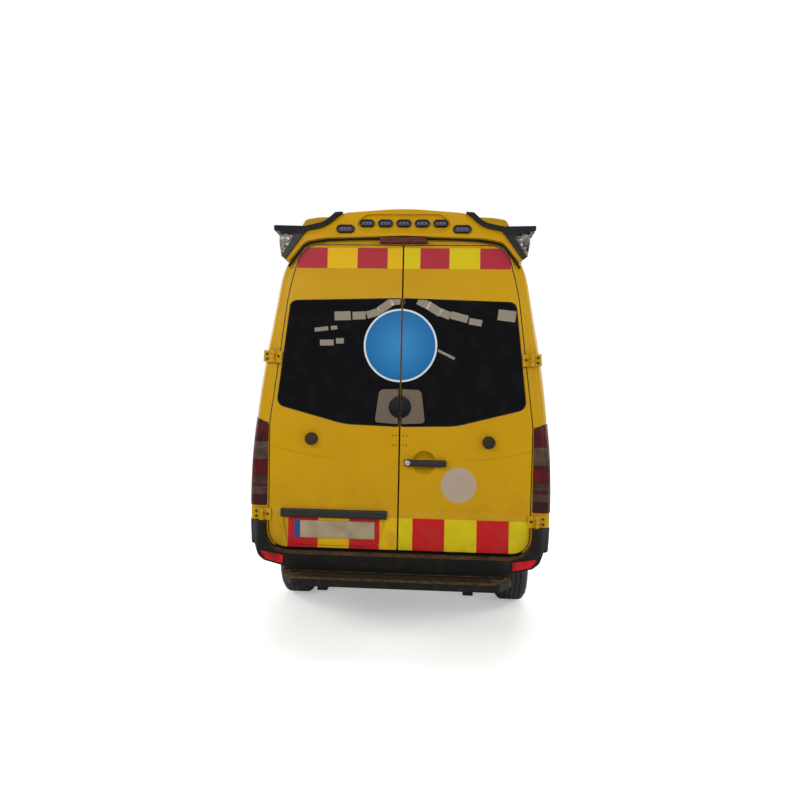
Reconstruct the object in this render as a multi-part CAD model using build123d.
from build123d import *
import os
from functools import lru_cache
from math import cos, pi, radians, sin

# Ambulance on a high-roof van body. X is right, Y is forward, Z is up, the ground is Z = 0.

# Overall sizes
BODY_LENGTH = 5910       # front bumper to rear bumper
STEP_REACH = 170         # entry step behind the rear bumper
BUMPER_PROUD = 95        # rear bumper behind the rear doors
WHEELBASE = 3665
FRONT_OVERHANG = 1004
FRONT_Y = (BODY_LENGTH + STEP_REACH) / 2
REAR_Y = FRONT_Y - BODY_LENGTH
DOOR_Y = REAR_Y + BUMPER_PROUD
FRONT_AXLE_Y = FRONT_Y - FRONT_OVERHANG
REAR_AXLE_Y = FRONT_AXLE_Y - WHEELBASE
NOSE_Y = FRONT_Y - 62

# Body section
HALF_WIDTH = 968
SILL_Z = 400
FLOOR_Z = 690
FLOOR_THICK = 40
ROOF_Z = 2760
WALL = 50
GLASS_SEAT = 8
LAMP_SEAT = 24
SEAT = 0.3               # play between a piece and its seat
ROOF_SPLIT_Z = 2440
REAR_ROUND = 62
LEAN_Z = 1400
LEAN = 40

SECTION = [  # half width, height, corner radius
    (HALF_WIDTH - 28, SILL_Z, 25),
    (HALF_WIDTH - 3, 800, 3000),
    (HALF_WIDTH, 1150, 3600),
    (HALF_WIDTH - 63, 1780, 5000),
    (HALF_WIDTH - 178, 2440, 560),
    (HALF_WIDTH - 308, 2660, 190),
    (0, ROOF_Z, 2400),
]

# Windscreen and bonnet: straight lines in side view, crowned across the van
COWL_Y = 2120
COWL_Z = 1290
SCREEN_RAKE = 38         # degrees from upright
SCREEN_CROWN = 2700
BONNET_SLOPE = 18        # degrees from level
BONNET_CROWN = 2600

PLAN = [  # half width, length position, corner radius
    (HALF_WIDTH + 40, -4000, 0),
    (HALF_WIDTH + 40, 1900, 1500),
    (HALF_WIDTH - 70, 2690, 260),
    (600, FRONT_Y - 92, 420),
    (0, FRONT_Y - 50, 1500),
]

# Rear doors
SEAM = 5                 # half the gap between the doors
DOOR_GAP = 7
DOOR_BOTTOM_Z = 640
DOOR_TOP_Z = 2593
DOOR_EDGE = [  # half width, height, corner radius
    (830, DOOR_BOTTOM_Z, 110),
    (838, 1440, 320),
    (735, 2300, 1500),
    (655, DOOR_TOP_Z, 130),
]
REAR_GLASS = [  # half width, height, corner radius
    (12, 1430, 6),
    (355, 1440, 500),
    (796, 1556, 55),
    (722, 2228, 45),
    (12, 2247, 6),
]
GLASS_BORDER = 36

# Rear door hinges: one leaning pin line a side, behind the door face
PIN_X = 874
PIN_LEAN = 0.05
PIN_BACK = 26
PIN_R = 7
KNUCKLE_R = 13
HINGE_HALF = 37
HINGE_Z = (849, 1862)

# Cab doors and sliding door, side view
CAB_DOOR = [  # length position, height, corner radius
    (640, 470, 50),
    (1588, 470, 50),
    (1588, 1270, 90),
    (1130, 2190, 130),
    (640, 2190, 60),
]
CAB_GLASS = [
    (735, 1250, 60),
    (1500, 1300, 50),
    (1115, 2095, 90),
    (735, 2095, 60),
]
CAB_GAP = 7
CAB_PIN_Y = 1583
CAB_PIN_X = HALF_WIDTH + 6
SLIDE_DOOR = [
    (-720, 470, 50),
    (570, 470, 50),
    (570, 2330, 90),
    (-720, 2330, 90),
]
SIDE_GLASS = [
    (-610, 1330, 80),
    (460, 1330, 80),
    (460, 1960, 80),
    (-610, 1960, 80),
]

# Wheels
TYRE_R = 356
TYRE_WIDTH = 235
TRACK_HALF = 850
RIM_R = 203
STUB_R = 38
KINGPIN_X = 725
FRONT_ARCH_R = 448
REAR_ARCH_R = 415
ARCH_IN = 585
LIP = 26
LIP_OUT = HALF_WIDTH + 20

# Frame under the floor
RAIL_X = 440
RAIL_W = 70
RAIL_H = 150
RAIL_TOP = FLOOR_Z - FLOOR_THICK
RAIL_LOW = RAIL_TOP - RAIL_H


def outline(rows):
    """Closed face through rows of (u, v, corner radius)."""
    points = [(u, v) for u, v, r in rows]
    radii = [r for u, v, r in rows]
    return make_face(FilletPolyline(*points, radius=radii, close=True))


def mirrored(rows):
    """Rows of a right half followed by the left half."""
    left = [(-u, v, r) for u, v, r in reversed(rows) if u > 0]
    return rows + left


def prism_x(face, x0, x1):
    """Side-view face (length, height) drawn out from x0 to x1."""
    return extrude(Plane.YZ.offset(x0) * face, x1 - x0)


def prism_y(face, y0, y1):
    """Rear-view face (width, height) drawn out from y0 to y1."""
    return extrude(Plane.XZ.offset(-y1) * face, y1 - y0)


def prism_z(face, z0, z1):
    """Plan face (width, length) drawn out from z0 to z1."""
    return extrude(Plane.XY.offset(z0) * face, z1 - z0)


def block(x0, x1, y0, y1, z0, z1):
    """Box between two corners."""
    middle = Pos((x0 + x1) / 2, (y0 + y1) / 2, (z0 + z1) / 2)
    return middle * Box(abs(x1 - x0), abs(y1 - y0), abs(z1 - z0))


def rod_x(radius, x0, x1, y, z):
    return Pos((x0 + x1) / 2, y, z) * Rot(0, 90, 0) * Cylinder(radius, abs(x1 - x0))


def rod_y(radius, y0, y1, x, z):
    return Pos(x, (y0 + y1) / 2, z) * Rot(90, 0, 0) * Cylinder(radius, abs(y1 - y0))


def rod_z(radius, z0, z1, x, y):
    return Pos(x, y, (z0 + z1) / 2) * Cylinder(radius, abs(z1 - z0))


def other_side(shape):
    return mirror(shape, Plane.YZ)


def gather(*shapes):
    """Separate solids of one node."""
    return Compound(children=[solid for shape in shapes for solid in shape.solids()])


def pair(shape):
    """A piece and its mirror image as two solids."""
    return gather(shape, other_side(shape))


def side_x(z):
    """Half width of the body at a height."""
    for (x0, z0, r0), (x1, z1, r1) in zip(SECTION, SECTION[1:]):
        if z0 <= z <= z1:
            return x0 + (x1 - x0) * (z - z0) / (z1 - z0)
    return 0


def crowned(slope, crown, inset):
    """Round bar whose topmost line leaves the cowl, rising or falling at a slope."""
    along = Vector(0, cos(slope), sin(slope))
    inward = Vector(0, -sin(slope), cos(slope))
    if inward.Z > 0:
        inward = inward * -1
    centre = Vector(0, COWL_Y, COWL_Z) + inward * crown
    return Plane(centre, x_dir=(1, 0, 0), z_dir=along) * Cylinder(crown - inset, 16000)


@lru_cache(maxsize=None)
def body(inset, bottom=SILL_Z):
    """Whole body as one block down to a bottom height, shrunk by an inset."""
    low = -300
    high = ROOF_Z + 200
    nose_tilt = 0.19
    profile = [
        (DOOR_Y, low, 0),
        (DOOR_Y, LEAN_Z, 1500),
        (DOOR_Y + LEAN * (high - LEAN_Z) / (DOOR_TOP_Z - LEAN_Z), high, 0),
        (NOSE_Y - nose_tilt * (high - 620), high, 0),
        (NOSE_Y, 620, 300),
        (NOSE_Y, low, 0),
    ]
    rows = [(SECTION[0][0], bottom, SECTION[0][2])] + SECTION[1:]
    section = offset(outline(mirrored(rows)), -inset)
    side = offset(outline(profile), -inset)
    plan = offset(outline(mirrored(PLAN)), -inset)
    solid = prism_y(section, DOOR_Y - 300, FRONT_Y + 300)
    solid &= prism_x(side, -1500, 1500)
    solid &= prism_z(plan, -400, high)
    screen = crowned(radians(90 + SCREEN_RAKE), SCREEN_CROWN, inset)
    bonnet = crowned(radians(180 - BONNET_SLOPE), BONNET_CROWN, inset)
    solid &= screen + bonnet
    rear = [
        edge for edge in solid.edges()
        if edge.center().Y < DOOR_Y + inset + LEAN + 12
        and edge.center().Z > bottom + inset + 2
        and (abs(edge.center().X) > 300 or edge.center().Z > DOOR_TOP_Z)
    ]
    return fillet(rear, max(REAR_ROUND - inset, 12))


def skin(outer, inner):
    """Layer of the body between two insets."""
    return body(outer) - body(inner)


def pocket(depth):
    """Everything outside the body from a depth below its surface."""
    return block(-1300, 1300, DOOR_Y - 200, FRONT_Y + 200, 0, ROOF_Z + 300) - body(depth)


def axle_cut(axle_y, radius):
    """Space for a wheel on each side."""
    right = rod_x(radius, ARCH_IN, 1300, axle_y, TYRE_R)
    return right + other_side(right)


def arch_lip(axle_y, radius):
    """Raised lip round a right wheel opening."""
    ring = rod_x(radius + LIP, HALF_WIDTH - 62, LIP_OUT, axle_y, TYRE_R)
    ring -= rod_x(radius, 0, 1300, axle_y, TYRE_R)
    return ring & block(0, 1300, axle_y - 700, axle_y + 700, SILL_Z, 1200)


parts = {}

# Shell of the body, open below
shell = body(0) - body(WALL, SILL_Z - 200)
double_door = outline(mirrored(DOOR_EDGE))
door_opening = prism_y(offset(double_door, DOOR_GAP), DOOR_Y - 100, DOOR_Y + 160)
door_opening += block(-837, 837, DOOR_Y - 100, DOOR_Y + 90, 0, DOOR_BOTTOM_Z - DOOR_GAP)

# Roof
SCREEN = [  # half width, height, corner radius
    (770, COWL_Z + 62, 70),
    (690, 2150, 90),
]
screen_cut = prism_y(outline(mirrored(SCREEN)), 900, 2600)
screen_hole = prism_y(offset(outline(mirrored(SCREEN)), -30), 900, 2600)
roof = shell & block(-1300, 1300, DOOR_Y - 100, FRONT_Y, ROOF_SPLIT_Z, ROOF_Z + 50)
parts["roof"] = roof - door_opening

# Rear door hinges: a leaf on the door and a leaf on the pillar share each pin
LEAF_THICK = 11
DOOR_LEAF = 56
PILLAR_LEAF = 62
LEAF_FOOT = 10           # width of the door leaf's foot on the door face
LEAF_CLEAR = 5


def hinge_plane(z):
    """Frame on the right pin line at a height, its Z up the pin."""
    along = Vector(-PIN_LEAN, 0, 1).normalized()
    point = (PIN_X - PIN_LEAN * (z - HINGE_Z[0]), DOOR_Y - PIN_BACK, z)
    return Plane(point, x_dir=(1, 0, PIN_LEAN), z_dir=along)


third = HINGE_HALF / 3
leaf_back = PIN_BACK - LEAF_CLEAR - LEAF_THICK
door_leaf = block(-DOOR_LEAF, -KNUCKLE_R, leaf_back, PIN_BACK - LEAF_CLEAR, -HINGE_HALF, HINGE_HALF)
door_leaf += block(-DOOR_LEAF, LEAF_FOOT - DOOR_LEAF, leaf_back, PIN_BACK + 20, -HINGE_HALF, HINGE_HALF)
for low, top in ((-HINGE_HALF, -third - 1), (third + 1, HINGE_HALF)):
    door_leaf += rod_z(KNUCKLE_R, low, top, 0, 0)
    door_leaf += block(-KNUCKLE_R - 6, -4, 0, PIN_BACK - LEAF_CLEAR, low, top)
door_leaf += rod_z(PIN_R, -HINGE_HALF, HINGE_HALF, 0, 0)
pillar_leaf = block(KNUCKLE_R + 2, PILLAR_LEAF, PIN_BACK - LEAF_THICK, PIN_BACK + 90, -HINGE_HALF, HINGE_HALF)
pillar_leaf += rod_z(KNUCKLE_R, -third + 1, third - 1, 0, 0)
pillar_leaf += block(4, KNUCKLE_R + 6, 0, PIN_BACK - LEAF_THICK + 4, -third + 1, third - 1)
pillar_leaf -= rod_z(PIN_R + SEAT, -100, 100, 0, 0)

# Side walls with the lamp seats, the wheel openings and the sill under the cab door
CAB_REAR_Y = CAB_DOOR[0][0] - CAB_GAP
WING_Y = CAB_DOOR[1][0] + CAB_GAP
SILL_TOP_Z = CAB_DOOR[0][1] - CAB_GAP
TAIL_LAMP = [  # position across, height, corner radius
    (847, 902, 10),
    (1100, 902, 0),
    (1100, 1500, 0),
    (962, 1476, 60),
    (847, 1434, 14),
]
LAMP_WRAP = 150
QUARTER_LOW_Z = 650      # lower edge of the wall behind the rear wheel
lamp_prism = prism_y(outline(TAIL_LAMP), DOOR_Y - 100, DOOR_Y + LAMP_WRAP)
lamp_pocket = prism_y(offset(outline(TAIL_LAMP), SEAT), DOOR_Y - 120, DOOR_Y + LAMP_WRAP + SEAT)
lamp_pocket &= pocket(LAMP_SEAT)
wall = shell & (
    block(0, 1300, DOOR_Y - 100, CAB_REAR_Y, SILL_Z - 10, ROOF_SPLIT_Z)
    + block(0, 1300, CAB_REAR_Y - 100, WING_Y, SILL_Z - 10, SILL_TOP_Z)
)
wall += arch_lip(REAR_AXLE_Y, REAR_ARCH_R)
wall -= door_opening
wall -= lamp_pocket
for z in HINGE_Z:
    wall += hinge_plane(z) * pillar_leaf - body(WALL - 10)
wall -= axle_cut(REAR_AXLE_Y, REAR_ARCH_R)
wall -= block(0, 1300, DOOR_Y - 100, REAR_AXLE_Y - 300, 0, QUARTER_LOW_Z)
wall -= rod_x(FRONT_ARCH_R, ARCH_IN, 1300, FRONT_AXLE_Y, TYRE_R)
slide_face = outline(SLIDE_DOOR)
side_glass_face = outline(SIDE_GLASS)
right_glass_cut = prism_x(offset(side_glass_face, -30), 700, 1200)
right_glass_seat = prism_x(offset(side_glass_face, 2), 700, 1200) & pocket(GLASS_SEAT)
parts["side_wall_right"] = wall - prism_x(offset(slide_face, CAB_GAP), 600, 1300)
parts["side_wall_left"] = other_side(wall - right_glass_cut - right_glass_seat)
sliding = shell & prism_x(slide_face, 600, 1300)
parts["sliding_door"] = sliding - right_glass_cut - right_glass_seat

# Cab frame: pillars, header and cowl round the windscreen
cab_face = outline(CAB_DOOR)
cab_opening = prism_x(offset(cab_face, CAB_GAP), 500, 1300)
cab_opening += other_side(cab_opening)
COWL_SPLIT_Z = COWL_Z + 8
cab = shell & block(-1300, 1300, CAB_REAR_Y, FRONT_Y, COWL_SPLIT_Z, ROOF_SPLIT_Z)
cab -= cab_opening
cab -= screen_cut & pocket(GLASS_SEAT)
parts["cab_frame"] = cab - screen_hole

# Fixed glass
screen_glass = prism_y(offset(outline(mirrored(SCREEN)), -2), 900, 2600) & skin(0, GLASS_SEAT - SEAT)
screen_glass &= block(-1300, 1300, 900, FRONT_Y, COWL_Z, ROOF_SPLIT_Z)
side_pane = prism_x(side_glass_face, 700, 1200) & skin(0, GLASS_SEAT - SEAT)
parts["fixed_glass"] = gather(screen_glass, pair(side_pane))

# Nose with wings and wheel-arch liners
BONNET = [  # half width, length position, corner radius
    (690, COWL_Y + 62, 60),
    (610, FRONT_Y - 190, 120),
]
BONNET_GAP = 7
GRILLE = [  # half width, height, corner radius
    (330, 690, 60),
    (430, 930, 60),
]
HEADLAMP = [  # position across, height, corner radius
    (400, 690, 30),
    (760, 700, 60),
    (860, 860, 60),
    (850, 1010, 50),
    (490, 950, 60),
]
bonnet_face = outline(mirrored(BONNET))
bonnet_cut = prism_z(offset(bonnet_face, BONNET_GAP), 880, 1600)
grille_face = outline(mirrored(GRILLE))
headlamp_face = outline(HEADLAMP)
nose = shell & block(-1300, 1300, WING_Y, FRONT_Y, SILL_Z + 40, COWL_SPLIT_Z)
nose -= bonnet_cut
lip = arch_lip(FRONT_AXLE_Y, FRONT_ARCH_R)
nose += (lip + other_side(lip)) & block(-1300, 1300, WING_Y, FRONT_Y, SILL_Z + 40, 1200)
liner = rod_x(FRONT_ARCH_R + 12, ARCH_IN, HALF_WIDTH - 30, FRONT_AXLE_Y, TYRE_R)
liner &= block(0, 1300, WING_Y, FRONT_Y, SILL_Z + 60, 1200)
nose += liner + other_side(liner)
nose -= axle_cut(FRONT_AXLE_Y, FRONT_ARCH_R)
nose -= prism_y(offset(grille_face, 1), 2500, FRONT_Y + 50)
lamp_hole = prism_y(offset(headlamp_face, 1), 2300, FRONT_Y + 50)
nose -= lamp_hole + other_side(lamp_hole)

# Cab door hinges: a leaf on the door and a leaf on the wing share each pin
CAB_HINGE_Z = (760, 1140)
CAB_KNUCKLE_R = 5.5
CAB_HINGE_PIN_R = 3
CAB_LEAF = 34
wing_leaf = rod_z(CAB_KNUCKLE_R, -12, 12, CAB_PIN_X, CAB_PIN_Y)
wing_leaf += block(CAB_PIN_X - 4, CAB_PIN_X + 4, CAB_PIN_Y, WING_Y + CAB_LEAF, -12, 12)
wing_leaf += block(CAB_PIN_X - 30, CAB_PIN_X + 4, WING_Y + 6, WING_Y + CAB_LEAF, -12, 12)
wing_leaf -= rod_z(CAB_HINGE_PIN_R + SEAT, -50, 50, CAB_PIN_X, CAB_PIN_Y)
cab_leaf = rod_z(CAB_HINGE_PIN_R, -36, 36, CAB_PIN_X, CAB_PIN_Y)
for low, top in ((-36, -13), (13, 36)):
    cab_leaf += rod_z(CAB_KNUCKLE_R, low, top, CAB_PIN_X, CAB_PIN_Y)
    cab_leaf += block(CAB_PIN_X - 30, CAB_PIN_X + 2, CAB_PIN_Y - CAB_LEAF, CAB_PIN_Y, low, top)
for z in CAB_HINGE_Z:
    nose += Pos(0, 0, z) * wing_leaf
    nose += other_side(Pos(0, 0, z) * wing_leaf)
parts["nose"] = nose

bonnet = shell & prism_z(bonnet_face, 890, 1600)
parts["bonnet"] = bonnet & block(-1300, 1300, COWL_Y, FRONT_Y, 980, 1600)

headlamp = prism_y(headlamp_face, 2300, FRONT_Y + 50) & skin(-5, 40)
parts["headlamps"] = pair(headlamp & block(0, 1300, 2450, FRONT_Y, 600, 1200))
grille = prism_y(grille_face, 2600, FRONT_Y + 50) & skin(-6, 40)
for slot in range(4):
    z = 728 + slot * 52
    grille -= block(-360, 360, 2600, FRONT_Y + 50, z, z + 30)
grille += prism_y(grille_face, 2600, FRONT_Y + 50) & skin(28, 40)
parts["grille"] = grille

# Bumpers
FRONT_BUMPER_LOW = 330
FRONT_BUMPER_TOP = 665
front_plan = offset(outline(mirrored(PLAN)), 54)
front_bumper = prism_z(front_plan, FRONT_BUMPER_LOW, FRONT_BUMPER_TOP)
front_bumper &= block(-HALF_WIDTH - 8, HALF_WIDTH + 8, FRONT_AXLE_Y + 250, FRONT_Y, 0, 1000)
front_bumper -= body(-SEAT)
front_bumper -= prism_z(offset(outline(mirrored(PLAN)), -30), 0, SILL_Z + 20)
front_bumper -= axle_cut(FRONT_AXLE_Y, FRONT_ARCH_R + LIP + 4)
front_bumper -= block(-420, 420, 2700, FRONT_Y + 50, 430, 540)
TOW_X = 500
TOW_Z = 590
TOW_R = 9
TOW_FACE_Y = FRONT_Y - 28
TOW_DEEP = 28
front_bumper += rod_y(24, NOSE_Y + SEAT, TOW_FACE_Y, TOW_X, TOW_Z)
parts["front_bumper"] = front_bumper - rod_y(TOW_R, TOW_FACE_Y - TOW_DEEP, FRONT_Y + 50, TOW_X, TOW_Z)

LEDGE_Z = 618
BUMPER_GAP = 16          # round the rear doors
REAR_BUMPER = [  # half width, height, corner radius
    (0, 530, 0),
    (690, 534, 200),
    (846, 562, 40),
    (888, 592, 60),
    (930, 680, 300),
    (956, 808, 10),
    (848, 808, 10),
    (842, 740, 90),
    (742, LEDGE_Z, 100),
    (0, LEDGE_Z, 0),
]
REAR_BUMPER_PLAN = [  # half width, length position, corner radius
    (HALF_WIDTH + 16, REAR_AXLE_Y - 380, 0),
    (HALF_WIDTH + 16, DOOR_Y + 50, 110),
    (892, DOOR_Y - 46, 70),
    (640, REAR_Y, 200),
]
rear_bumper = prism_y(outline(mirrored(REAR_BUMPER)), REAR_Y - 10, REAR_AXLE_Y - 380)
rear_bumper &= prism_z(outline(mirrored(REAR_BUMPER_PLAN)), 0, 2000)
rear_bumper -= body(-SEAT)
rear_bumper -= prism_y(offset(double_door, BUMPER_GAP), REAR_Y - 50, DOOR_Y + 70)
rear_bumper -= block(-830, 830, DOOR_Y + 70, 0, 0, 1000)
rear_bumper -= axle_cut(REAR_AXLE_Y, REAR_ARCH_R + LIP + 6)
REFLECTOR = [  # position across, height, corner radius
    (718, 553, 6),
    (836, 571, 6),
    (876, 622, 6),
    (718, 605, 6),
]
reflector_face = outline(REFLECTOR)
bumper_core = offset(outline(mirrored(REAR_BUMPER_PLAN)), -14)
reflector_seat = prism_y(offset(reflector_face, SEAT), REAR_Y - 50, DOOR_Y + 20)
reflector_seat -= prism_z(bumper_core, 0, 2000)
rear_bumper -= reflector_seat + other_side(reflector_seat)
parts["rear_bumper"] = rear_bumper
reflector = prism_y(reflector_face, REAR_Y - 50, DOOR_Y + 20)
reflector &= prism_z(offset(outline(mirrored(REAR_BUMPER_PLAN)), 2), 0, 2000)
reflector -= prism_z(offset(bumper_core, SEAT), 0, 2000)

# Entry step with its two arms under the frame
STEP_TOP = 514
STEP_LOW = 472
STEP_END_Y = REAR_Y - STEP_REACH
STEP = [  # half width, length position, corner radius
    (716, REAR_Y + 40, 20),
    (706, REAR_Y - 40, 90),
    (612, STEP_END_Y, 60),
]
step = prism_z(outline(mirrored(STEP)), STEP_LOW, STEP_TOP)
step -= rear_bumper
tread = offset(outline(mirrored(STEP)), -48)
step -= prism_z(tread, STEP_TOP - 8, STEP_TOP + 20) & block(-1000, 1000, -4000, REAR_Y - 4, 0, 900)
arm = block(RAIL_X - 30, RAIL_X + 30, STEP_END_Y + 60, DOOR_Y + 260, STEP_LOW - 40, STEP_LOW + 4)
arm += block(RAIL_X - 30, RAIL_X + 30, DOOR_Y + 180, DOOR_Y + 260, STEP_LOW - 40, RAIL_LOW - SEAT)
parts["rear_step"] = step + arm + other_side(arm)

# Tail lamps and high brake lamp
tail_lamp = lamp_prism & skin(-4, LAMP_SEAT - SEAT)
tail_lamp &= block(0, 1300, DOOR_Y - 60, DOOR_Y + LAMP_WRAP, 800, 1600)

# Rear roof fairing with lamp panel, trim blades and corner lamps
FAIRING_LOW_Y = DOOR_Y - 20
FAIRING_SLOPE = 20       # degrees its rear face leans forward
FAIRING_DEPTH = 460
BLADE_DEPTH = 150
BLADE_BACK = 16
FAIRING = [  # half width, height, corner radius
    (0, 2642, 0),
    (500, 2628, 300),
    (632, 2604, 90),
    (736, 2478, 6),
    (753, 2488, 4),
    (620, 2672, 40),
    (500, 2700, 180),
    (398, 2802, 100),
    (0, 2838, 1800),
]
fairing_low_z = FAIRING[0][1]
tilt = Rot(-FAIRING_SLOPE, 0, 0)
fairing_face = Pos(0, FAIRING_LOW_Y, fairing_low_z) * tilt * Rot(90, 0, 0)


def on_fairing(face, depth_out, depth_in):
    """Solid on the leaning rear face, from in front of it to behind it."""
    solid = extrude(Pos(0, 0, -depth_in) * face, depth_in + depth_out)
    return fairing_face * solid


keep = on_fairing(Pos(0, 0) * Rectangle(3000, 3000), 0, 2000)
fairing = prism_y(outline(mirrored(FAIRING)), FAIRING_LOW_Y - 300, FAIRING_LOW_Y + FAIRING_DEPTH)
fairing &= keep
fairing &= block(-1500, 1500, FAIRING_LOW_Y, 0, 2000, 3500)
SHOULDER = [  # position across, height, corner radius
    (380, 2640, 0),
    (380, 2812, 0),
    (580, 2804, 200),
    (664, 2790, 40),
    (692, 2735, 20),
    (692, 2640, 0),
]
shoulder = prism_y(outline(SHOULDER), FAIRING_LOW_Y + BLADE_DEPTH + 10, FAIRING_LOW_Y + FAIRING_DEPTH)
fairing += shoulder + other_side(shoulder)
fairing -= body(-SEAT)
PANEL = [  # half width, height up the face, corner radius
    (270, 20, 60),
    (312, 90, 60),
    (240, 162, 60),
]
MODULES = [  # position across, height up the face, length, height
    (-236, 92, 94, 52),
    (-118, 92, 94, 52),
    (0, 92, 94, 52),
    (118, 92, 94, 52),
    (236, 92, 94, 52),
    (-372, 44, 116, 58),
    (372, 44, 116, 58),
]
PANEL_DEPTH = 10
fairing -= on_fairing(outline(mirrored(PANEL)), 60, PANEL_DEPTH)
modules = []
for across, up, length, height in MODULES:
    pill = Pos(across, up) * RectangleRounded(length, height, height / 2 - 1)
    fairing -= on_fairing(offset(pill, SEAT), 60, PANEL_DEPTH + 14)
    modules.append(on_fairing(pill, 2 if abs(across) < 300 else 8, PANEL_DEPTH + 14 - SEAT))
parts["rear_fairing"] = fairing

BLADE = [  # position across, height, corner radius
    (398, 2808, 4),
    (446, 2804, 6),
    (512, 2734, 110),
    (630, 2703, 80),
    (836, 2708, 6),
    (831, 2671, 6),
    (694, 2642, 14),
    (780, 2504, 6),
    (752, 2486, 2),
    (617, 2671, 40),
    (497, 2698, 180),
    (396, 2797, 2),
]
blade_face = outline(BLADE)
blade = prism_y(blade_face, FAIRING_LOW_Y - BLADE_BACK, FAIRING_LOW_Y + BLADE_DEPTH)
blade &= on_fairing(Pos(0, 0) * Rectangle(3000, 3000), BLADE_BACK, 2000)
blade -= prism_y(offset(outline(mirrored(FAIRING)), SEAT), FAIRING_LOW_Y - 400, 0)
blade -= body(-SEAT)
blade = blade.solids().sort_by(SortBy.VOLUME)[-1]
parts["fairing_blades"] = pair(blade)

CORNER_LAMP = [  # position across, height, corner radius
    (680, 2660, 4),
    (797, 2684, 4),
    (796, 2590, 40),
    (781, 2500, 4),
]
corner = prism_y(outline(CORNER_LAMP), FAIRING_LOW_Y, FAIRING_LOW_Y + BLADE_DEPTH - 10)
corner &= on_fairing(Pos(0, 0) * Rectangle(3000, 3000), 0, 2000)
corner -= prism_y(offset(blade_face, SEAT), FAIRING_LOW_Y - 400, 0)
corner -= prism_y(offset(outline(mirrored(FAIRING)), SEAT), FAIRING_LOW_Y - 400, 0)
corner -= body(-SEAT)
corner = corner.solids().sort_by(SortBy.VOLUME)[-1]

BRAKE_LAMP = [  # half width, height, corner radius
    (164, 2603, 8),
    (140, 2634, 8),
]
brake_lamp = prism_y(outline(mirrored(BRAKE_LAMP)), DOOR_Y - 12, DOOR_Y + 90) - body(-SEAT)
brake_lamp = brake_lamp.solids().sort_by(Axis.Y)[0]
parts["rear_lamps"] = gather(pair(tail_lamp), pair(reflector), brake_lamp)

# Front roof fairing and its lamps
FRONT_FAIRING = [  # length position, height, corner radius
    (620, 2730, 0),
    (700, 2840, 120),
    (960, 2840, 160),
    (1180, 2640, 40),
    (1120, 2560, 0),
]
front_fairing = prism_x(outline(FRONT_FAIRING), -600, 600) - body(-SEAT)
front_fairing = front_fairing.solids().sort_by(SortBy.VOLUME)[-1]
front_edge = Vector(0, FRONT_FAIRING[3][0], FRONT_FAIRING[3][1])
back_edge = Vector(0, FRONT_FAIRING[2][0], FRONT_FAIRING[2][1])
face_up = (back_edge - front_edge).normalized()
face_out = Vector(0, -face_up.Z, face_up.Y) * -1
FRONT_MODULES = [-460, -230, 0, 230, 460]
for across in FRONT_MODULES:
    spot = Plane((front_edge + back_edge) / 2 + Vector(across, 0, 0), x_dir=(1, 0, 0), z_dir=face_out)
    pill = RectangleRounded(116, 58, 28)
    front_fairing -= spot * extrude(Pos(0, 0, -16) * offset(pill, SEAT), 60)
    modules.append(spot * extrude(Pos(0, 0, -16 + SEAT) * pill, 24))
parts["front_fairing"] = front_fairing
parts["roof_lamps"] = gather(pair(corner), *modules)

# Floor with the rear wheel boxes
floor_half = side_x(FLOOR_Z - FLOOR_THICK) - WALL - 2
TOE_BOARD = [  # length position, height, corner radius
    (WING_Y - 40, FLOOR_Z - FLOOR_THICK, 0),
    (WING_Y, FLOOR_Z - FLOOR_THICK, 0),
    (1890, 985, 0),
    (1850, 985, 0),
]
floor = block(-floor_half, floor_half, DOOR_Y + WALL + 12, WING_Y, FLOOR_Z - FLOOR_THICK, FLOOR_Z)
floor += prism_x(outline(TOE_BOARD), -floor_half, floor_half)
boxes = rod_x(REAR_ARCH_R + 14, ARCH_IN - 14, floor_half, REAR_AXLE_Y, TYRE_R)
boxes &= block(0, 1300, -3000, 0, FLOOR_Z - FLOOR_THICK, 1200)
floor += boxes + other_side(boxes)
floor -= axle_cut(REAR_AXLE_Y, REAR_ARCH_R)
floor -= rod_x(FRONT_ARCH_R + 20, ARCH_IN - 10, 1300, FRONT_AXLE_Y, TYRE_R)
floor -= other_side(rod_x(FRONT_ARCH_R + 20, ARCH_IN - 10, 1300, FRONT_AXLE_Y, TYRE_R))
parts["floor"] = floor

# Frame: two rails and cross members, with the rear spring hangers
CROSS_Y = [2640, 1250, 300, -700, DOOR_Y + 150]
RAIL_FRONT_Y = NOSE_Y - 120
RAIL_REAR_Y = DOOR_Y + 90
HANGER = 560             # spring eyes from the rear axle
SPRING_X = 540
SPRING_W = 70
EYE_Z = 545
EYE_R = 34
HANGER_PIN_R = 14
TOW_BOLT_R = 6.5
TOW_BOLT_GAP = 120
rail = block(RAIL_X - RAIL_W / 2, RAIL_X + RAIL_W / 2, RAIL_REAR_Y, RAIL_FRONT_Y, RAIL_LOW, RAIL_TOP)
for end in (-1, 1):
    y = REAR_AXLE_Y + end * HANGER
    rail += rod_x(HANGER_PIN_R, RAIL_X, SPRING_X + SPRING_W / 2 + 4, y, EYE_Z)
    rail += rod_x(EYE_R, RAIL_X, SPRING_X - SPRING_W / 2 - 2, y, EYE_Z)
tow_y = DOOR_Y + 420
for end in (-1, 1):
    rail -= rod_z(TOW_BOLT_R, RAIL_LOW - 1, RAIL_LOW + 60, RAIL_X, tow_y + end * TOW_BOLT_GAP / 2)
JACK_Y = (900, -860)
JACK_R = 45
JACK_DROP = 15
for y in JACK_Y:
    rail += rod_z(JACK_R, RAIL_LOW - JACK_DROP, RAIL_LOW + 5, RAIL_X, y)
frame = rail + other_side(rail)
for y in CROSS_Y:
    frame += block(-RAIL_X, RAIL_X, y - 45, y + 45, RAIL_LOW + 10, RAIL_TOP - 30)
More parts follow.
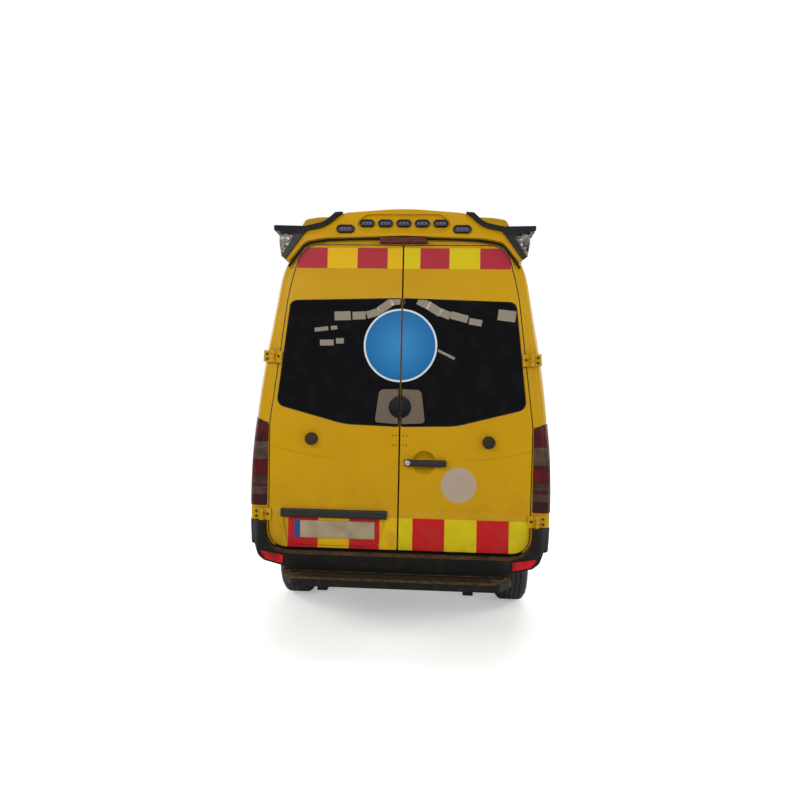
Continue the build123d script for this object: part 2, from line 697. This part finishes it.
# Front suspension: cross beam with two arms a side
ARM_RISE = 150
ARM_THICK = 36
front_beam = block(-520, 520, FRONT_AXLE_Y - 90, FRONT_AXLE_Y + 90, 250, 330)
tower = block(390, 500, FRONT_AXLE_Y - 60, FRONT_AXLE_Y + 60, 180, RAIL_LOW)
ARM = [  # position across, length position, corner radius
    (430, FRONT_AXLE_Y - 60, 0),
    (KINGPIN_X + 34, FRONT_AXLE_Y - 34, 30),
    (KINGPIN_X + 34, FRONT_AXLE_Y + 34, 30),
    (430, FRONT_AXLE_Y + 60, 0),
]
for rise in (-ARM_RISE, ARM_RISE):
    z = TYRE_R + rise
    tower += prism_z(outline(ARM), z - ARM_THICK / 2, z + ARM_THICK / 2)
tower += block(430, 500, FRONT_AXLE_Y - 60, FRONT_AXLE_Y + 60, RAIL_LOW - 60, TYRE_R + ARM_RISE)
PIN_HOLE_R = 16
tower -= rod_z(PIN_HOLE_R, 100, 700, KINGPIN_X, FRONT_AXLE_Y)
frame += front_beam + tower + other_side(tower)
parts["chassis_frame"] = frame


# Engine, bulkhead, dashboard, seats
ENGINE_HALF = 290
parts["engine"] = fillet(
    block(-ENGINE_HALF, ENGINE_HALF, 1940, 2560, 505, 960).edges().filter_by(Axis.Y), 60
) + block(-RAIL_X + RAIL_W / 2 + SEAT, RAIL_X - RAIL_W / 2 - SEAT, 2050, 2110, 520, 600)

BULKHEAD_Y = 580
bulkhead = body(WALL + 2) & block(-1300, 1300, BULKHEAD_Y - 15, BULKHEAD_Y + 15, FLOOR_Z + SEAT, 3000)
parts["bulkhead"] = bulkhead

DASH = [  # length position, height, corner radius
    (1700, 1090, 60),
    (1850, 990, 60),
    (2110, 990, 0),
    (2110, 1250, 0),
    (1880, 1286, 60),
    (1690, 1200, 60),
]
dash = prism_x(outline(DASH), -1000, 1000) & body(WALL + SEAT)
WHEEL_X = -470
COLUMN_TILT = 32         # degrees the steering column leans from level
HUB_Y = 1560
HUB_Z = 1235
along = Vector(0, -cos(radians(COLUMN_TILT)), sin(radians(COLUMN_TILT)))
column_foot = Vector(WHEEL_X, HUB_Y, HUB_Z) - along * 330
column = Plane(column_foot, x_dir=(1, 0, 0), z_dir=along) * extrude(Circle(34), 300)
dash += column
dash += block(-120, 120, 1600, 1760, 1000, 1130)
parts["dashboard"] = dash

hub_plane = Plane((WHEEL_X, HUB_Y, HUB_Z), x_dir=(1, 0, 0), z_dir=along)
RIM_RING_R = 195
ring = Torus(RIM_RING_R, 15)
hub = Pos(0, 0, -4) * Cylinder(62, 52)
spokes = Pos(0, 0, 0) * Box(2 * RIM_RING_R - 8, 44, 18)
spokes += Pos(0, -RIM_RING_R / 2, 0) * Box(44, RIM_RING_R - 8, 18)
parts["steering_wheel"] = hub_plane * (ring + hub + spokes)

SEAT_X = 470
CUSHION_TOP = 1150
seat = fillet(block(SEAT_X - 240, SEAT_X + 240, 850, 1370, CUSHION_TOP - 130, CUSHION_TOP).edges(), 40)
BACK = [  # length position, height, width, thickness, tall, corner radius
    (845, 1400, 460, 110, 640, 40),
    (775, 1775, 260, 90, 190, 34),
]
for y, z, width, thick, tall, radius in BACK:
    pad = fillet(Box(width, thick, tall).edges(), radius)
    seat += Pos(SEAT_X, y, z) * Rot(10, 0, 0) * pad
seat += block(SEAT_X - 190, SEAT_X + 190, 880, 1300, FLOOR_Z + SEAT, CUSHION_TOP - 100)
parts["cab_seats"] = pair(seat)

# Fuel tank, exhaust
tank = block(-840, -RAIL_X - RAIL_W / 2 - SEAT, -420, 520, 350, 640)
parts["fuel_tank"] = fillet(tank.edges().filter_by(Axis.Y), 45)
PIPE_X = 250
PIPE_R = 30
MUFFLER_R = 105
MUFFLER_Y = CROSS_Y[2]
pipe_z = RAIL_LOW + 10 - MUFFLER_R - SEAT
path = FilletPolyline(
    (PIPE_X, 1600, pipe_z), (PIPE_X, -960, pipe_z), (860, -960, pipe_z), radius=170
)
pipe = sweep(Plane(path @ 0, z_dir=path % 0) * Circle(PIPE_R), path)
parts["exhaust"] = pipe + rod_y(MUFFLER_R, MUFFLER_Y - 330, MUFFLER_Y + 330, PIPE_X, pipe_z)

# Rear axle with propeller shaft, leaf springs
BEAM_R = 55
beam_end = TRACK_HALF - 70
axle = rod_x(BEAM_R, -beam_end, beam_end, REAR_AXLE_Y, TYRE_R)
axle += Pos(0, REAR_AXLE_Y, TYRE_R) * Sphere(150)
axle += rod_x(STUB_R, -TRACK_HALF - 52, TRACK_HALF + 52, REAR_AXLE_Y, TYRE_R)
axle += rod_y(36, REAR_AXLE_Y + 100, 1615, 0, TYRE_R + 40)
axle += rod_y(105, 1310, 1615, 0, TYRE_R + 40)
parts["rear_axle"] = axle

SPRING_THICK = 34
spring_low = TYRE_R + BEAM_R + SEAT
spring_path = [
    (REAR_AXLE_Y - HANGER, EYE_Z),
    (REAR_AXLE_Y, spring_low + SPRING_THICK / 2),
    (REAR_AXLE_Y + HANGER, EYE_Z),
]
spring_arc = ThreePointArc(*spring_path)
leaf_face = make_face(
    spring_arc.offset_2d(SPRING_THICK / 2, side=Side.BOTH).wire()
)
spring = prism_x(leaf_face, SPRING_X - SPRING_W / 2, SPRING_X + SPRING_W / 2)
for end in (-1, 1):
    y = REAR_AXLE_Y + end * HANGER
    spring += rod_x(EYE_R, SPRING_X - SPRING_W / 2, SPRING_X + SPRING_W / 2, y, EYE_Z)
    spring -= rod_x(HANGER_PIN_R + SEAT, SPRING_X - 60, SPRING_X + 60, y, EYE_Z)
parts["leaf_springs"] = pair(spring)

# Knuckles, held between the arms
knuckle_half = ARM_RISE - ARM_THICK / 2 - SEAT
knuckle = rod_z(30, TYRE_R - knuckle_half, TYRE_R + knuckle_half, KINGPIN_X, FRONT_AXLE_Y)
knuckle += rod_z(
    PIN_HOLE_R - SEAT, TYRE_R - ARM_RISE - 16, TYRE_R + ARM_RISE + 16, KINGPIN_X, FRONT_AXLE_Y
)
knuckle += rod_x(STUB_R, KINGPIN_X, TRACK_HALF + 52, FRONT_AXLE_Y, TYRE_R)
knuckle += rod_x(70, KINGPIN_X + 4, TRACK_HALF - 64, FRONT_AXLE_Y, TYRE_R)
parts["knuckle_right"] = knuckle
parts["knuckle_left"] = other_side(knuckle)

# Wheels and tyres
RIM = [  # across the wheel, radius, corner radius
    (-97, RIM_R - 14, 0),
    (-97, RIM_R + 14, 0),
    (-90, RIM_R + 14, 0),
    (-90, RIM_R, 0),
    (90, RIM_R, 0),
    (90, RIM_R + 14, 0),
    (97, RIM_R + 14, 0),
    (97, RIM_R - 14, 0),
    (62, RIM_R - 14, 0),
    (40, 110, 0),
    (56, 86, 0),
    (56, STUB_R + SEAT, 0),
    (-62, STUB_R + SEAT, 0),
    (-62, 64, 0),
    (22, 86, 0),
    (22, 110, 0),
    (44, RIM_R - 14, 0),
]
TYRE = [  # across the tyre, radius, corner radius
    (-89, RIM_R + SEAT, 0),
    (-89, RIM_R + 20, 0),
    (-TYRE_WIDTH / 2 + 4, RIM_R + 52, 0),
    (-TYRE_WIDTH / 2, RIM_R + 84, 0),
    (-TYRE_WIDTH / 2 + 6, RIM_R + 116, 0),
    (-TYRE_WIDTH / 2 + 26, TYRE_R - 10, 0),
    (-TYRE_WIDTH / 2 + 46, TYRE_R, 0),
]
VENTS = 9
VENT_R = 21
VENT_RING_R = 146
rim = revolve(Plane.XY * outline(RIM), Axis.X)
for vent in range(VENTS):
    angle = 2 * pi * vent / VENTS
    rim -= rod_x(VENT_R, 0, 100, VENT_RING_R * cos(angle), VENT_RING_R * sin(angle))
tyre_rows = TYRE + [(-u, v, r) for u, v, r in reversed(TYRE)]
tyre = revolve(Plane.XY * outline(tyre_rows), Axis.X)
WHEELS = [  # name, side, axle position
    ("front_right", 1, FRONT_AXLE_Y),
    ("front_left", -1, FRONT_AXLE_Y),
    ("rear_right", 1, REAR_AXLE_Y),
    ("rear_left", -1, REAR_AXLE_Y),
]
for name, side, axle_y in WHEELS:
    place = Pos(side * TRACK_HALF, axle_y, TYRE_R)
    parts["wheel_" + name] = place * (rim if side > 0 else other_side(rim))
    parts["tyre_" + name] = place * tyre

# Cab doors with glass and mirrors
cab_door = shell & prism_x(cab_face, 500, 1300)
cab_glass_face = outline(CAB_GLASS)
cab_door -= prism_x(offset(cab_glass_face, 2), 500, 1300) & pocket(GLASS_SEAT)
cab_door -= prism_x(offset(cab_glass_face, -24), 500, 1300)
cab_door -= rod_x(FRONT_ARCH_R + LIP + 12, ARCH_IN, 1300, FRONT_AXLE_Y, TYRE_R)
for z in CAB_HINGE_Z:
    cab_door += Pos(0, 0, z) * cab_leaf
parts["cab_door_right"] = cab_door
parts["cab_door_left"] = other_side(cab_door)
cab_pane = prism_x(cab_glass_face, 500, 1300) & skin(0, GLASS_SEAT - SEAT)
parts["cab_glass_right"] = cab_pane
parts["cab_glass_left"] = other_side(cab_pane)
MIRROR_IN = HALF_WIDTH + 110
MIRROR_W = 190
MIRROR_Z = (1270, 1650)
head = block(MIRROR_IN, MIRROR_IN + MIRROR_W, 1440, 1560, MIRROR_Z[0], MIRROR_Z[1])
head = fillet(head.edges(), 38)
for z in (1292, 1235):
    head += block(900, MIRROR_IN + 60, 1475, 1525, z - 16, z + 16)
head += block(900, side_x(1265) + 40, 1440, 1555, 1205, 1310)
mirror_head = head - body(-SEAT)
mirror_head = mirror_head.solids().sort_by(SortBy.VOLUME)[-1]
parts["mirror_right"] = mirror_head
parts["mirror_left"] = other_side(mirror_head)

# Rear doors with glass, hinge leaves and fittings
half_door = outline(
    [(SEAM, DOOR_BOTTOM_Z, 4)] + DOOR_EDGE + [(SEAM, DOOR_TOP_Z, 4)]
)
rear_glass_face = outline(REAR_GLASS)
rear_door = shell & prism_y(half_door, DOOR_Y - 20, DOOR_Y + WALL + LEAN + 12)
rear_door -= prism_y(offset(rear_glass_face, 2), DOOR_Y - 20, DOOR_Y + 200) & pocket(GLASS_SEAT)
rear_door -= prism_y(offset(rear_glass_face, -GLASS_BORDER), DOOR_Y - 20, DOOR_Y + 200)
rear_door -= block(-50, SEAM + 8, DOOR_Y, DOOR_Y + 200, 600, 2700) & body(24)
for z in HINGE_Z:
    rear_door += hinge_plane(z) * door_leaf
rear_pane = prism_y(rear_glass_face, DOOR_Y - 20, DOOR_Y + 100) & skin(0, GLASS_SEAT - SEAT)
parts["rear_glass_right"] = rear_pane
parts["rear_glass_left"] = other_side(rear_pane)

# The plate sits in a shallow recess on the left door, the handle on a dish on the right door
PLATE_RECESS = [  # position across, height, corner radius
    (-712, 652, 40),
    (-122, 652, 60),
    (-76, 832, 20),
    (-748, 832, 20),
]
PLATE_DEPTH = 14
plate_cut = prism_y(outline(PLATE_RECESS), DOOR_Y - 20, DOOR_Y + PLATE_DEPTH)
parts["rear_door_left"] = other_side(rear_door) - plate_cut
HANDLE_X = 168
HANDLE_Z = 1200
dish = Pos(HANDLE_X - 8, DOOR_Y - 40, HANDLE_Z) * Sphere(86)
parts["rear_door_right"] = rear_door - dish

BUFFER_X = 566
BUFFER_Z = 1339
BUFFER_R = 38
EMBLEM = [  # position across, height, corner radius
    (SEAM + 7, 1444, 4),
    (160, 1452, 20),
    (134, 1662, 34),
    (SEAM + 7, 1666, 4),
]
door_buffer = rod_y(BUFFER_R, DOOR_Y - 30, DOOR_Y - SEAT, BUFFER_X, BUFFER_Z)
emblem = prism_y(outline(EMBLEM), DOOR_Y - 14, DOOR_Y + 20) - body(-SEAT)
grip = block(HANDLE_X - 134, HANDLE_X + 134, DOOR_Y - 44, DOOR_Y - 18, HANDLE_Z - 22, HANDLE_Z + 22)
grip = fillet(grip.edges(), 11)
for foot in (-104, 104):
    grip += rod_y(20, DOOR_Y - 30, DOOR_Y - SEAT, HANDLE_X + foot, HANDLE_Z)
parts["door_fittings_right"] = Compound(children=[door_buffer, emblem.solids()[0], grip.solids()[0]])
lamp_bar = block(-753, -71, DOOR_Y - 26, DOOR_Y - SEAT, 834, 889)
lamp_bar = fillet(lamp_bar.edges().filter_by(Axis.X), 10)
plate = block(-669, -149, DOOR_Y + PLATE_DEPTH - 6, DOOR_Y + PLATE_DEPTH - SEAT, 700, 810)
left_buffer = other_side(door_buffer)
left_emblem = other_side(emblem)
parts["door_fittings_left"] = Compound(
    children=[left_buffer, left_emblem.solids()[0], lamp_bar, plate]
)

os.makedirs("parts", exist_ok=True)
for name, shape in parts.items():
    export_step(shape, f"parts/{name}.step")
